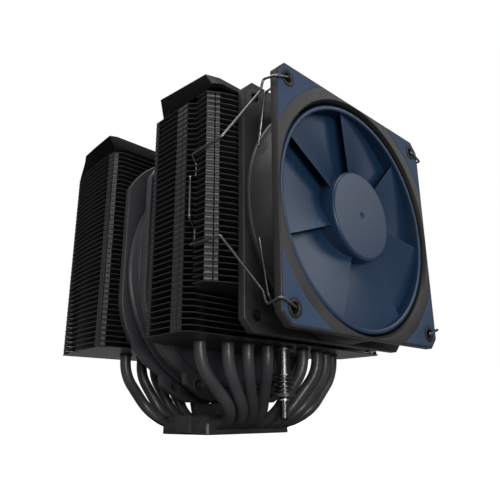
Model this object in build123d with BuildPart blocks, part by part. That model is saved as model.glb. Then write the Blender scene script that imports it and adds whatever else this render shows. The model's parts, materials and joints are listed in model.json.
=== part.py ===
"""Twin-tower processor cooler with a clipped front fan and a lift-out centre fan.

Frame: the origin is the centre of the cold plate's contact face, +Z is up and air flows
along +Y, so the front fan is on the -Y side. All sizes are in millimetres.
"""
import os
from math import cos, pi, sin
from types import SimpleNamespace

from build123d import *

os.makedirs("parts", exist_ok=True)

# ---- Driving dimensions --------------------------------------------------------------

# Fin stacks
FIN_T = 0.45
FIN_PITCH = 2.75
FIN_COUNT = 41
FINS_WITHOUT_PROW = 7          # lowest fins of the front tower, cut back at the front
FIN_Z0 = 43.2                  # underside of the lowest fin
TAB_GAP = 0.12                 # daylight between a fold tab and the next fin
TAB_T = 0.5
HALF_WIDTH = 73.5              # half the width of a fin over its fold tabs
FRONT_TOWER_Y = (-74.0, -14.8)
REAR_TOWER_Y = (12.2, 65.7)
PROWLESS_Y = -56.5             # front edge of the lowest fins
NOTCH_DEPTH = 5.5              # side notch that takes the wire clip

# Heat pipes
PIPE_R = 3.0
PIPE_Z = 5.5                   # pipe axis inside the base
PIPE_PITCH = 6.5
PIPE_TOP = 157.0
TOWER_BEND, BASE_BEND = 22.0, 17.0   # bend radii below the towers and at the base
PIPE_FIT = 0.05                # radial play between a pipe and a fin collar
# Where the four pipes of each side stand in the towers, from the centre outwards
FRONT_PIPE_XY = [(13.6, -45.8), (26.3, -45.0), (37.0, -42.3), (50.0, -37.0)]
REAR_PIPE_XY = [(9.6, 45.4), (20.4, 43.6), (31.5, 40.6), (44.7, 37.0)]

# Base
PLATE_X, PLATE_Y = 60.0, 39.0
BLOCK_Y = 27.0                 # the block that clamps the pipes is shorter than the plate
PLATE_T = 5.5
BASE_TOP = 9.5
LUG_X, LUG_Y = 32.0, 13.0
GROOVE_PLAY = 0.02

# Top covers
COVER_Z0 = FIN_Z0 + (FIN_COUNT - 1) * FIN_PITCH + FIN_T + 0.1
COVER_RIM_H = 2.1
COVER_TOP = 165.6
COVER_WALL = 1.6

# Mounting hardware
SCREW_Y = 44.0                 # the two screws stand at y = -44 and +44
BAR_TOP = 15.9
BAR_SCREW_Y = 12.0             # the bar is held down by two countersunk screws
BAR_SCREW_TIP = 8.8
EYE_Z0, EYE_T, EYE_R = 18.2, 1.8, 5.9
SPRING_WIRE_R, SPRING_R, SPRING_TURNS = 0.5, 4.6, 4
WASHER_Z, WASHER_T, WASHER_R = 28.6, 0.8, 5.1
SCREW_HOLE_R = 4.4

# Fans
FLANGE_T = 4.0
FAN_DEPTH = 25.0
HOLE_R = 2.15
BOSS_R = 4.1                   # plastic left around each hole inside a rubber corner
FRONT_FAN_Y = -99.3            # front plane of the front fan
FRONT_FAN_Z = 101.7
CENTRE_FAN_Y = -13.7
CENTRE_FAN_Z = 85.2

WIRE_R = 0.6


def write(piece, name):
    """Label a finished piece and write it."""
    piece.part.label = name
    export_step(piece.part, f"parts/{name}.step")


def mirrored(points):
    """Sketch inside a left-half outline and its mirror image."""
    with BuildSketch() as outline:
        with BuildLine():
            Polyline(*points)
            mirror(about=Plane.YZ)
        make_face()
    return outline.sketch


# ---- Fin stacks ----------------------------------------------------------------------

def strip(start, end, thickness, inward):
    """Corners of a thin strip from start to end, thick towards the inward direction."""
    dx, dy = inward[0] * thickness, inward[1] * thickness
    return [start, end, (end[0] + dx, end[1] + dy), (start[0] + dx, start[1] + dy)]


def make_fin(outline, pipes, screw_y, tabs, slots):
    """One flat fin at z = 0 with its pipe holes, and fold tabs reaching up."""
    tab_h = FIN_PITCH - FIN_T - TAB_GAP
    with BuildPart() as fin:
        with BuildSketch():
            add(mirrored(outline))
            with Locations(*[(side * x, y) for x, y in pipes for side in (-1, 1)]):
                Circle(PIPE_R + PIPE_FIT, mode=Mode.SUBTRACT)
            with Locations((0, screw_y)):
                Circle(SCREW_HOLE_R, mode=Mode.SUBTRACT)
            with Locations(*[(side * x, y) for x, y in slots for side in (-1, 1)]):
                Rectangle(1.0, 2.6, mode=Mode.SUBTRACT)
        extrude(amount=FIN_T)
        if tabs:
            with BuildSketch(Plane.XY.offset(FIN_T)):
                for start, end, inward in tabs:
                    with BuildLine():
                        Polyline(*strip(start, end, TAB_T, inward), close=True)
                    make_face()
                mirror(about=Plane.YZ)
            extrude(amount=tab_h)
    return fin.part


def add_collars(pipes):
    """Collars around the pipes under the lowest fin of a stack."""
    with BuildSketch(Plane.XY.offset(FIN_Z0)) as collars:
        with Locations(*[(side * x, y) for x, y in pipes for side in (-1, 1)]):
            Circle(PIPE_R + PIPE_FIT + 0.5)
            Circle(PIPE_R + PIPE_FIT, mode=Mode.SUBTRACT)
    extrude(collars.sketch, amount=-1.1)


def fin_levels(first, last):
    """Heights of the undersides of fins first to last - 1."""
    return [(0, 0, FIN_Z0 + FIN_PITCH * i) for i in range(first, last)]


front_y, back_y = FRONT_TOWER_Y
side_x = -HALF_WIDTH
notch_y = -60.5
notch_floor = side_x + NOTCH_DEPTH
flank = [(side_x, -53.2), (side_x, -27.0), (-64.0, back_y), (0, back_y)]
front_outline = [(0, front_y), (-61.0, front_y), (-67.6, -71.2), (side_x, -67.5), (side_x, notch_y),
                 (notch_floor, notch_y + 0.9), (notch_floor, -53.2 - NOTCH_DEPTH)] + flank
prowless_outline = [(0, PROWLESS_Y), (-69.6, PROWLESS_Y)] + flank
flank_tabs = [((side_x, -50.0), (side_x, -45.6), (1, 0)),
              ((side_x, -53.1), (side_x, -50.5), (1, 0)),
              ((side_x, -29.3), (side_x, -27.2), (1, 0))]
prow_tabs = [((-70.2, -69.57), (side_x + 0.3, -67.69), (0.53, 0.85)),
             ((-68.1, -70.89), (-69.7, -69.88), (0.53, 0.85))]
front_slots = [(-70.2, -47.8), (-62.0, -18.5)]

prow_fin = make_fin(front_outline, FRONT_PIPE_XY, -SCREW_Y, flank_tabs + prow_tabs, front_slots)
top_front_fin = make_fin(front_outline, FRONT_PIPE_XY, -SCREW_Y, [], front_slots)
prowless_fin = make_fin(prowless_outline, FRONT_PIPE_XY, -SCREW_Y, flank_tabs, front_slots)

with BuildPart() as front_fins_upper:
    with Locations(*fin_levels(FINS_WITHOUT_PROW, FIN_COUNT - 1)):
        add(prow_fin)
    with Locations(*fin_levels(FIN_COUNT - 1, FIN_COUNT)):
        add(top_front_fin)
write(front_fins_upper, "front_fins_upper")

with BuildPart() as front_fins_lower:
    with Locations(*fin_levels(0, FINS_WITHOUT_PROW)):
        add(prowless_fin)
    add_collars(FRONT_PIPE_XY)
write(front_fins_lower, "front_fins_lower")

REAR_SIDE_END = (-69.0, REAR_TOWER_Y[1])
rear_arc = [(side_x, 22.7), (-73.1, 36.0), (-71.8, 50.0), REAR_SIDE_END]
rear_outline = [(0, REAR_TOWER_Y[0]), (-68.8, REAR_TOWER_Y[0]), (side_x, 15.4)] + rear_arc
rear_outline += [(0, REAR_TOWER_Y[1])]
rear_tabs = [((side_x, 15.9), (side_x, 20.4), (1, 0)),
             ((-71.3, 13.9), (side_x + 0.3, 15.2), (0.56, 0.83)),
             ((-69.4, 63.5), (-69.07, 65.1), (0.98, -0.18)),
             ((-61.5, REAR_TOWER_Y[1]), (-68.3, REAR_TOWER_Y[1]), (0, -1))]
rear_slots = [(-70.4, 18.4), (-65.8, 62.0)]
rear_fin = make_fin(rear_outline, REAR_PIPE_XY, SCREW_Y, rear_tabs, rear_slots)
top_rear_fin = make_fin(rear_outline, REAR_PIPE_XY, SCREW_Y, [], rear_slots)

with BuildPart() as rear_fins:
    with Locations(*fin_levels(0, FIN_COUNT - 1)):
        add(rear_fin)
    with Locations(*fin_levels(FIN_COUNT - 1, FIN_COUNT)):
        add(top_rear_fin)
    add_collars(REAR_PIPE_XY)
write(rear_fins, "rear_fins")


# ---- Heat pipes ----------------------------------------------------------------------

def make_pipe(side, index):
    """One pipe: down the front tower, through the base, up the rear tower."""
    base_x = side * PIPE_PITCH * (index + 0.5)
    front_x, front_pipe_y = FRONT_PIPE_XY[index]
    rear_x, rear_pipe_y = REAR_PIPE_XY[index]
    exit_y = PLATE_Y / 2 + 10.5 + 2.2 * index
    rise = 32.0
    with BuildPart() as pipe:
        with BuildLine() as route:
            FilletPolyline((side * front_x, front_pipe_y, PIPE_TOP), (side * front_x, front_pipe_y, rise),
                           (base_x, -exit_y, PIPE_Z), (base_x, exit_y, PIPE_Z),
                           (side * rear_x, rear_pipe_y, rise), (side * rear_x, rear_pipe_y, PIPE_TOP),
                           radius=[TOWER_BEND, BASE_BEND, BASE_BEND, TOWER_BEND])
        path = route.wire()
        with BuildSketch(Plane(path @ 0, z_dir=path % 0)):
            Circle(PIPE_R)
        sweep()
        tips = pipe.edges().filter_by(GeomType.CIRCLE).group_by(Axis.Z)[-1]
        fillet(tips, radius=2.2)
    return pipe


pipes = [make_pipe(side, index) for side in (-1, 1) for index in range(4)]
pipes = sorted(pipes, key=lambda pipe: pipe.part.center().X)
for number, pipe in enumerate(pipes, start=1):
    write(pipe, f"heat_pipe_{number}")


# ---- Base ----------------------------------------------------------------------------

def cut_grooves():
    """Round grooves for the eight pipes, along Y."""
    with BuildSketch(Plane.XZ.offset(-PLATE_Y)) as grooves:
        with Locations((0, PIPE_Z)):
            with GridLocations(PIPE_PITCH, 1, 8, 1):
                Circle(PIPE_R + GROOVE_PLAY)
    extrude(grooves.sketch, amount=2 * PLATE_Y, mode=Mode.SUBTRACT)


with BuildPart() as cold_plate:
    with BuildSketch():
        Rectangle(PLATE_X, PLATE_Y)
    extrude(amount=PLATE_T)
    chamfer(cold_plate.edges().filter_by(Axis.Z), length=1.0)
    chamfer(cold_plate.edges().group_by(Axis.Z)[0], length=0.4)
    cut_grooves()
write(cold_plate, "cold_plate")

with BuildPart() as base_block:
    with BuildSketch(Plane.XY.offset(PIPE_Z)):
        Rectangle(PLATE_X, BLOCK_Y)
    extrude(amount=BASE_TOP - PIPE_Z)
    chamfer(base_block.edges().group_by(Axis.Z)[-1], length=0.6)
    with BuildSketch(Plane.XY.offset(1.0)):
        with Locations((-LUG_X / 2 - PLATE_X / 4, 0), (LUG_X / 2 + PLATE_X / 4, 0)):
            Rectangle(LUG_X - PLATE_X / 2, LUG_Y)
    extrude(amount=BASE_TOP - 1.0)
    with Locations((0, -BAR_SCREW_Y, BASE_TOP), (0, BAR_SCREW_Y, BASE_TOP)):
        Hole(1.6, depth=BASE_TOP - BAR_SCREW_TIP + 0.2)
    cut_grooves()
write(base_block, "base_block")


def revolve_profile(points, y):
    """Turn a half profile of (radius, z) points about the vertical line x = 0, y."""
    with BuildSketch(Plane.YZ) as profile:
        with BuildLine():
            Polyline(*[(y + radius, z) for radius, z in points], close=True)
        make_face()
    revolve(profile.sketch, axis=Axis((0, y, 0), (0, 0, 1)))


# ---- Crossbar and captive screws -----------------------------------------------------

BAR_HALF_X, BAR_HALF_Y = 8.0, 21.0
ARM_X = 5.4

with BuildPart() as crossbar:
    with BuildSketch(Plane.XY.offset(BASE_TOP)):
        RectangleRounded(2 * BAR_HALF_X, 2 * BAR_HALF_Y, 1.5)
    extrude(amount=BAR_TOP - BASE_TOP)
    for side in (-1, 1):
        with BuildSketch(Plane.YZ.offset(-ARM_X / 2)):
            with BuildLine():
                Polyline((side * 18, BAR_TOP - EYE_T), (side * 24, BAR_TOP - EYE_T), (side * 30, EYE_Z0),
                         (side * (SCREW_Y - 2), EYE_Z0), (side * (SCREW_Y - 2), EYE_Z0 + EYE_T),
                         (side * 28, EYE_Z0 + EYE_T), (side * 22, BAR_TOP), (side * 18, BAR_TOP), close=True)
            make_face()
        extrude(amount=ARM_X)
        with BuildSketch(Plane.XY.offset(EYE_Z0)):
            with Locations((0, side * SCREW_Y)):
                Circle(EYE_R)
        extrude(amount=EYE_T)
    with Locations((0, -SCREW_Y, EYE_Z0 + EYE_T), (0, SCREW_Y, EYE_Z0 + EYE_T)):
        Hole(3.0, depth=EYE_T)
    with Locations((0, -BAR_SCREW_Y, BAR_TOP), (0, BAR_SCREW_Y, BAR_TOP)):
        CounterSinkHole(1.6, 2.9, depth=BAR_TOP - BASE_TOP)
write(crossbar, "crossbar")

with BuildPart() as crossbar_screws:
    for side in (-1, 1):
        revolve_profile([(0, BAR_SCREW_TIP), (1.5, BAR_SCREW_TIP), (1.5, BAR_TOP - 1.55),
                         (2.2, BAR_TOP - 0.7), (1.3, BAR_TOP - 0.7), (0, BAR_TOP - 1.6)], side * BAR_SCREW_Y)
write(crossbar_screws, "crossbar_screws")


def mounting_set(place, y):
    """Captive screw, spring, washer and retaining clip at one end of the crossbar."""
    tip_z, thread_r, neck_r, shaft_r, sleeve_r, collar_r = 7.0, 2.1, 1.6, 2.6, 3.65, 6.0
    shoulder_z, collar_z, head_top, clip_z = WASHER_Z + WASHER_T + 0.1, 41.4, 49.0, 16.4
    with BuildPart() as screw:
        revolve_profile([(0, tip_z), (thread_r - 0.6, tip_z), (thread_r, tip_z + 0.8),
                         (thread_r, clip_z - 0.1), (neck_r, clip_z - 0.1), (neck_r, clip_z + 0.9),
                         (thread_r, clip_z + 0.9), (thread_r, EYE_Z0 - 0.7), (shaft_r, EYE_Z0 - 0.2),
                         (shaft_r, shoulder_z),
                         (sleeve_r, shoulder_z), (sleeve_r, collar_z), (collar_r, collar_z),
                         (collar_r, collar_z + 1.0), (sleeve_r, collar_z + 1.0), (sleeve_r, head_top),
                         (0, head_top)], y)
        with BuildSketch(Plane.XY.offset(head_top)):
            with Locations((0, y)):
                RegularPolygon(2.0, 6)
        extrude(amount=-3.5, mode=Mode.SUBTRACT)
    write(screw, f"mounting_screw_{place}")

    foot, crown = EYE_Z0 + EYE_T + 0.05, WASHER_Z - 0.05
    with BuildPart() as spring:
        height = crown - foot - 2 * SPRING_WIRE_R
        with BuildLine() as coil:
            Helix(pitch=height / SPRING_TURNS, height=height, radius=SPRING_R,
                  center=(0, y, foot + SPRING_WIRE_R))
        with BuildSketch(Plane(coil.wire() @ 0, z_dir=coil.wire() % 0)):
            Circle(SPRING_WIRE_R)
        sweep(is_frenet=True)
    write(spring, f"screw_spring_{place}")

    with BuildPart() as washer:
        with BuildSketch(Plane.XY.offset(WASHER_Z)):
            with Locations((0, y)):
                Circle(WASHER_R)
                Circle(shaft_r + 0.06, mode=Mode.SUBTRACT)
        extrude(amount=WASHER_T)
    write(washer, f"spring_washer_{place}")

    with BuildPart() as clip:
        with BuildSketch(Plane.XY.offset(clip_z)):
            with Locations((0, y)):
                Circle(3.6)
                Circle(neck_r + 0.05, mode=Mode.SUBTRACT)
            with Locations((0, y - 2.6)):
                Rectangle(2 * neck_r, 3.2, mode=Mode.SUBTRACT)
        extrude(amount=0.7)
    write(clip, f"screw_clip_{place}")


mounting_set("front", -SCREW_Y)
mounting_set("rear", SCREW_Y)


# ---- Top covers ----------------------------------------------------------------------

def make_cover(rim, top, hole_y, post_xy):
    """A thin faceted cap: an upright rim, then sides that lean to the top outline."""
    rim_top = COVER_Z0 + COVER_RIM_H
    inner_top = COVER_TOP - COVER_WALL
    with BuildPart() as cover:
        with BuildSketch(Plane.XY.offset(COVER_Z0)):
            add(mirrored(rim))
        extrude(amount=COVER_RIM_H)
        with BuildSketch(Plane.XY.offset(rim_top)):
            add(mirrored(rim))
        with BuildSketch(Plane.XY.offset(COVER_TOP)):
            add(mirrored(top))
        loft(ruled=True)
        with BuildSketch(Plane.XY.offset(COVER_Z0)):
            add(mirrored(rim))
            offset(amount=-COVER_WALL, kind=Kind.INTERSECTION, mode=Mode.REPLACE)
        extrude(amount=COVER_RIM_H, mode=Mode.SUBTRACT)
        with BuildSketch(Plane.XY.offset(rim_top)):
            add(mirrored(rim))
            offset(amount=-COVER_WALL, kind=Kind.INTERSECTION, mode=Mode.REPLACE)
        with BuildSketch(Plane.XY.offset(inner_top)):
            add(mirrored(top))
            offset(amount=-COVER_WALL, kind=Kind.INTERSECTION, mode=Mode.REPLACE)
        loft(ruled=True, mode=Mode.SUBTRACT)
        with BuildSketch(Plane.XY.offset(COVER_Z0)):
            with Locations(*[(side * x, y) for x, y in post_xy for side in (-1, 1)]):
                Circle(2.0)
        extrude(amount=inner_top - COVER_Z0)
        with Locations((0, hole_y, COVER_TOP)):
            Hole(SCREW_HOLE_R + 0.4, depth=COVER_WALL)
        with BuildSketch(Plane.XY.offset(COVER_TOP)):
            with Locations(*[(side * (18 + 9 * k), hole_y) for k in range(4) for side in (-1, 1)]):
                SlotOverall(30, 1.6, rotation=90)
        extrude(amount=-0.6, mode=Mode.SUBTRACT)
    return cover


front_rim = [(0, front_y), (-69.5, front_y), (-73.5, -71.3), (-73.5, -38.0), (-56.0, back_y), (0, back_y)]
front_top = [(0, -66.0), (-64.3, -66.0), (-71.3, -63.8), (-74.3, -30.7), (-61.0, back_y), (0, back_y)]
front_cover = make_cover(front_rim, front_top, -SCREW_Y, [(60, -58), (50, -24)])
write(front_cover, "front_cover")

rear_y0, rear_y1 = REAR_TOWER_Y
rear_rim = [(0, rear_y0), (-69.5, rear_y0), (-73.5, 15.0), (-73.5, 38.0), (-72.0, 52.0), (-68.5, rear_y1),
            (0, rear_y1)]
rear_top = [(0, 18.2), (-70.5, 18.2), (-74.6, 20.0), (-73.6, 38.0), (-72.3, 53.0), (-68.0, 62.5), (0, 62.5)]
rear_cover = make_cover(rear_rim, rear_top, SCREW_Y, [(60, 26), (60, 56)])
write(rear_cover, "rear_cover")


# ---- Fans ----------------------------------------------------------------------------

def across(fan, depth):
    """Plane across the airflow, depth behind the fan's front; extruding goes forward."""
    return Plane(origin=(0, fan.y + depth, fan.z), x_dir=(1, 0, 0), z_dir=(0, -1, 0))


def ring(fan, outer, inner, front, back, mode=Mode.ADD):
    """A round ring, or a disc where inner is 0, between two depths."""
    with BuildSketch(across(fan, back)) as profile:
        Circle(outer)
        if inner:
            Circle(inner, mode=Mode.SUBTRACT)
    extrude(profile.sketch, amount=back - front, mode=mode)


def square_outline():
    """120 mm square flange with cut corners."""
    with BuildSketch() as outline:
        Rectangle(120, 120)
        chamfer(outline.vertices(), length=5.5)
    return outline.sketch


def round_outline():
    """Flange of the centre fan: a rounded body with ears at the four fixing holes."""
    with BuildSketch() as outline:
        with BuildLine():
            Polyline((0, -68.8), (-24, -68.8), (-29.3, -66.5), (-39.4, -60.4), (-40.3, -55.2))
            ThreePointArc((-40.3, -55.2), (-56.7, -42.6), (-67.0, -15.8))
            Polyline((-67.0, -15.8), (-66.5, 45.0))
            ThreePointArc((-66.5, 45.0), (-59.4, 56.2), (-49.8, 64.4))
            Polyline((-49.8, 64.4), (-42.0, 68.8), (0, 68.8))
            mirror(about=Plane.YZ)
        make_face()
    return outline.sketch


def make_frame(fan):
    """Two flanges joined by a barrel, with spokes that carry the motor mount."""
    with BuildPart() as frame:
        for back in (FLANGE_T, FAN_DEPTH):
            with BuildSketch(across(fan, back)):
                add(fan.outline)
                Circle(fan.bore_r, mode=Mode.SUBTRACT)
                with Locations(*fan.holes):
                    Circle(HOLE_R, mode=Mode.SUBTRACT)
            extrude(amount=FLANGE_T)
        ring(fan, fan.barrel_r, fan.bore_r, FLANGE_T, FAN_DEPTH - FLANGE_T)
        for rib in fan.ribs:
            ring(fan, fan.barrel_r + 1.3, fan.bore_r, rib, rib + 1.4)
        for pad_depth, grow in ((0, 1), (FAN_DEPTH, -1)):
            with BuildSketch(across(fan, pad_depth)):
                add(pad_sketch(fan, 0.0))
            extrude(amount=-grow * fan.pad_t, mode=Mode.SUBTRACT)
        spoke_len = fan.bore_r + 1 - (fan.hub_r - 3)
        with BuildSketch(across(fan, FAN_DEPTH)):
            with PolarLocations((fan.bore_r + fan.hub_r - 2) / 2, fan.spokes, start_angle=20):
                Rectangle(spoke_len, 3.6, rotation=14)
        extrude(amount=3.5)
        ring(fan, fan.hub_r - 1.5, 0, FAN_DEPTH - 3.2, FAN_DEPTH)
        ring(fan, fan.hub_r - 1.5, fan.hub_r - 2.8, FAN_DEPTH - 4.8, FAN_DEPTH - 3.2)
        ring(fan, 4.4, 3.0, 8.5, FAN_DEPTH - 3.2)
    return frame


def pad_sketch(fan, play):
    """The rubber corners: flange corners outside a ring, with holes for the bosses."""
    with BuildSketch() as pads:
        add(fan.outline)
        if play:
            offset(amount=-play, mode=Mode.REPLACE)
        Circle(fan.pad_inner_r + play, mode=Mode.SUBTRACT)
        Rectangle(2 * (fan.pad_from_x + play), 200, mode=Mode.SUBTRACT)
        with Locations((0, fan.pad_floor - 100)):
            Rectangle(200, 200, mode=Mode.SUBTRACT)
        Rectangle(200, 2 * (fan.pad_from_z + play), mode=Mode.SUBTRACT)
        with Locations(*fan.holes):
            Circle(BOSS_R + play, mode=Mode.SUBTRACT)
    return pads.sketch


def make_pads(fan, depth, grow):
    """Four pads let into one flange face."""
    with BuildPart() as pads:
        with BuildSketch(across(fan, depth)):
            add(pad_sketch(fan, 0.05))
        extrude(amount=-grow * (fan.pad_t - 0.05))
    return pads


BLADES = 7
HUB_FRONT = 0.5
HUB_WALL = 1.5
HUB_BACK = 17.0


def blade_section(fan, angle, radius, half_chord, front, back, thickness):
    """Curved blade section seen along the radius, between two depths."""
    radial = Vector(sin(angle), 0, cos(angle))
    tangent = Vector(cos(angle), 0, -sin(angle))
    origin = Vector(0, fan.y, fan.z) + radial * radius
    bow = 1.8
    middle = (front + back) / 2
    with BuildSketch(Plane(origin=origin, x_dir=tangent, z_dir=radial)) as section:
        with BuildLine():
            ThreePointArc((-half_chord, front), (0, middle + bow), (half_chord, back))
            Line((half_chord, back), (half_chord, back + thickness))
            ThreePointArc((half_chord, back + thickness), (0, middle + bow + thickness),
                          (-half_chord, front + thickness))
            Line((-half_chord, front + thickness), (-half_chord, front))
        make_face()
    return section.sketch.face()


def make_impeller(fan):
    """Blades joined to a hub cap at the root and to a ring at the tip."""
    tip_r = (fan.ring_r + fan.ring_r - 1.4) / 2
    with BuildPart() as impeller:
        for k in range(BLADES):
            angle = 2 * pi * (k + 0.5) / BLADES
            root = blade_section(fan, angle, fan.hub_r - 3.4, 0.46 * fan.hub_r, 3.4, 12.6, 1.5)
            tip = blade_section(fan, angle, tip_r + 6, 0.53 * fan.ring_r, 3.2, 11.2, 1.2)
            loft([root, tip])
        ring(fan, tip_r + 30, tip_r, 0, FAN_DEPTH, mode=Mode.SUBTRACT)
        ring(fan, fan.ring_r, fan.ring_r - 1.4, 1.8, 15.6)
        ring(fan, fan.hub_r, 0, HUB_FRONT, HUB_BACK)
        ring(fan, fan.hub_r - HUB_WALL, 0, HUB_FRONT + HUB_WALL, HUB_BACK, mode=Mode.SUBTRACT)
        ring(fan, 3.4, 1.52, HUB_FRONT + HUB_WALL, HUB_FRONT + HUB_WALL + 3)
        rim = impeller.edges().filter_by(GeomType.CIRCLE).group_by(Axis.Y)[0]
        chamfer(rim, length=0.6)
    return impeller


def make_motor(fan, name):
    """Everything inside the hub, from the shaft out to the magnet."""
    cup_r = fan.hub_r - HUB_WALL - 0.05
    magnet_r = cup_r - 1.05
    pole_r = magnet_r - 2.2 - 0.5
    cup_front = HUB_FRONT + HUB_WALL + 0.05

    with BuildPart() as yoke:
        ring(fan, cup_r, 0, cup_front, HUB_BACK - 1)
        ring(fan, cup_r - 1.0, 0, cup_front + 1.0, HUB_BACK - 1, mode=Mode.SUBTRACT)
        ring(fan, 4.0, 0, 0, HUB_BACK, mode=Mode.SUBTRACT)
    write(yoke, f"{name}_rotor_yoke")

    with BuildPart() as magnet:
        ring(fan, magnet_r, magnet_r - 2.2, 6.0, HUB_BACK - 1.5)
    write(magnet, f"{name}_ring_magnet")

    with BuildPart() as shaft:
        ring(fan, 1.5, 0, HUB_FRONT + HUB_WALL + 0.05, 21.5)
        ring(fan, 1.5, 1.2, 20.5, 21.1, mode=Mode.SUBTRACT)
    write(shaft, f"{name}_shaft")

    with BuildPart() as shaft_clip:
        ring(fan, 2.5, 1.23, 20.55, 21.05)
        with BuildSketch(across(fan, 21.05)):
            with Locations((0, -2)):
                Rectangle(2.0, 2.6)
        extrude(amount=0.5, mode=Mode.SUBTRACT)
    write(shaft_clip, f"{name}_shaft_clip")

    with BuildPart() as bearing:
        ring(fan, 2.98, 1.55, 8.6, 20.2)
    write(bearing, f"{name}_bearing")

    pole_arm, shoe_t = 3.4, 1.6
    with BuildPart() as stator:
        with BuildSketch(across(fan, 15.6)):
            Circle(pole_r)
            Circle(pole_r - shoe_t, mode=Mode.SUBTRACT)
            with PolarLocations(pole_r, 4, start_angle=45):
                Rectangle(6, 3.2, mode=Mode.SUBTRACT)
            with PolarLocations((pole_r + 5.5) / 2 - 0.5, 4):
                Rectangle(pole_r - 5.5, pole_arm)
            Circle(6.5)
            Circle(4.45, mode=Mode.SUBTRACT)
        extrude(amount=6.0)
    write(stator, f"{name}_stator_core")

    coil_in, coil_out, coil_t = 7.0, pole_r - shoe_t - 0.5, 1.6
    coil_front, coil_back = 8.4, 16.8
    with BuildPart() as windings:
        with BuildSketch(across(fan, coil_back)):
            with PolarLocations((coil_in + coil_out) / 2, 4):
                Rectangle(coil_out - coil_in, pole_arm + 2 * coil_t)
        extrude(amount=coil_back - coil_front)
        with BuildSketch(across(fan, 15.7)):
            with PolarLocations((coil_in + coil_out) / 2, 4):
                Rectangle(coil_out - coil_in + 2, pole_arm + 0.1)
        extrude(amount=6.2, mode=Mode.SUBTRACT)
    write(windings, f"{name}_windings")

    with BuildPart() as board:
        ring(fan, fan.hub_r - 3.6, 4.6, 18.4, 19.6)
        with BuildSketch(across(fan, 18.4)):
            with PolarLocations(10.5, 5, start_angle=10):
                Rectangle(3.0, 4.0)
        extrude(amount=0.9)
    write(board, f"{name}_circuit_board")


corner = 52.5
front_fan = SimpleNamespace(
    y=FRONT_FAN_Y, z=FRONT_FAN_Z, outline=square_outline(), bore_r=58.4, barrel_r=60.0, hub_r=22.6,
    ring_r=57.2, holes=[(sx * corner, sz * corner) for sx in (-1, 1) for sz in (-1, 1)], ribs=[],
    spokes=5, pad_t=1.0, pad_inner_r=65.0, pad_from_x=28.3, pad_from_z=28.3, pad_floor=-100)
centre_fan = SimpleNamespace(
    y=CENTRE_FAN_Y, z=CENTRE_FAN_Z, outline=round_outline(), bore_r=63.2, barrel_r=65.2, hub_r=23.0,
    ring_r=62.2, holes=[(-corner, corner), (corner, corner), (-31.5, -60.6), (31.5, -60.6)],
    ribs=[7.2, 16.4], spokes=5, pad_t=1.0, pad_inner_r=66.4, pad_from_x=24.0, pad_from_z=25.0,
    pad_floor=0)

for fan, name in ((front_fan, "front_fan"), (centre_fan, "centre_fan")):
    write(make_frame(fan), f"{name}_frame")
    write(make_pads(fan, 0, 1), f"{name}_front_pads")
    write(make_pads(fan, FAN_DEPTH, -1), f"{name}_rear_pads")
    write(make_impeller(fan), f"{name}_impeller")
    make_motor(fan, name)


# ---- Wire clips of the front fan -----------------------------------------------------

def make_clip(side):
    """One length of spring wire: tail, fixing hole, arm, notch, finger grip and back."""
    hook_x, edge_x, arm_x, notch_x, grip_x = 52.5, 61.4, 74.8, 70.9, 76.5
    flange_front = FRONT_FAN_Y - WIRE_R - 0.5
    upper = [(58.6, -86.3, 21.5), (58.6, -90.8, 46.5), (hook_x, -90.8, corner),
             (hook_x, flange_front, corner), (edge_x, flange_front, 49.2), (edge_x, -92.6, 51.2),
             (edge_x + 0.3, -91.0, 45.4), (arm_x, -80.0, 22.4), (arm_x, -59.8, 21.8),
             (notch_x, -57.9, 19.0), (notch_x, -57.9, 12.4), (grip_x, -61.0, 9.6)]
    lower = [(x, y, -z) for x, y, z in reversed(upper)]
    points = [(side * x, y, FRONT_FAN_Z - 0.2 * (abs(z) < 30) + z) for x, y, z in upper + lower]
    with BuildPart() as clip:
        with BuildLine() as route:
            FilletPolyline(*points, radius=1.3)
        path = route.wire()
        with BuildSketch(Plane(path @ 0, z_dir=path % 0)):
            Circle(WIRE_R)
        sweep()
    return clip


write(make_clip(-1), "fan_clip_left")
write(make_clip(1), "fan_clip_right")
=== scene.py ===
"""Looks of the twin-tower processor cooler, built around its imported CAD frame.

Shapes are written in millimetres in the row frame and scaled to metres as each mesh is made.
"""

import json
from math import atan2, cos, hypot, pi, radians, sin, tan
from types import SimpleNamespace

import bmesh
import bpy
from mathutils import Matrix, Vector


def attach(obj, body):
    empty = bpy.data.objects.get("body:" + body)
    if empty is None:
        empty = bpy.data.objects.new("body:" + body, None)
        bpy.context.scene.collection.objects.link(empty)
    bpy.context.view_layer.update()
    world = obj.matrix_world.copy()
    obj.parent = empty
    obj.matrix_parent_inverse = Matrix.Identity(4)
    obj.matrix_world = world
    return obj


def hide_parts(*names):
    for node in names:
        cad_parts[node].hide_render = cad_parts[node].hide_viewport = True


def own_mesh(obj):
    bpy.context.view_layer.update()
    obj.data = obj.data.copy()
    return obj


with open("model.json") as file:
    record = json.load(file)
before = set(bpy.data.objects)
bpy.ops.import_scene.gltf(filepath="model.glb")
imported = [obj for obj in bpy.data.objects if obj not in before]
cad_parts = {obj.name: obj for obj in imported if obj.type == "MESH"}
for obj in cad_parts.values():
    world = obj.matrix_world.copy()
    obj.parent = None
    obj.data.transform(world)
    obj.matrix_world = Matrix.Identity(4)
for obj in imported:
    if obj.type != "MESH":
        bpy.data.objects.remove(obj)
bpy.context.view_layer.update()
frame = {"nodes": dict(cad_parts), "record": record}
MM = 0.001

# ---- Sizes that follow the CAD model -------------------------------------------------

FAN_HOLE = 52.5                        # half the spacing of a 120 mm fan's holes
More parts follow.
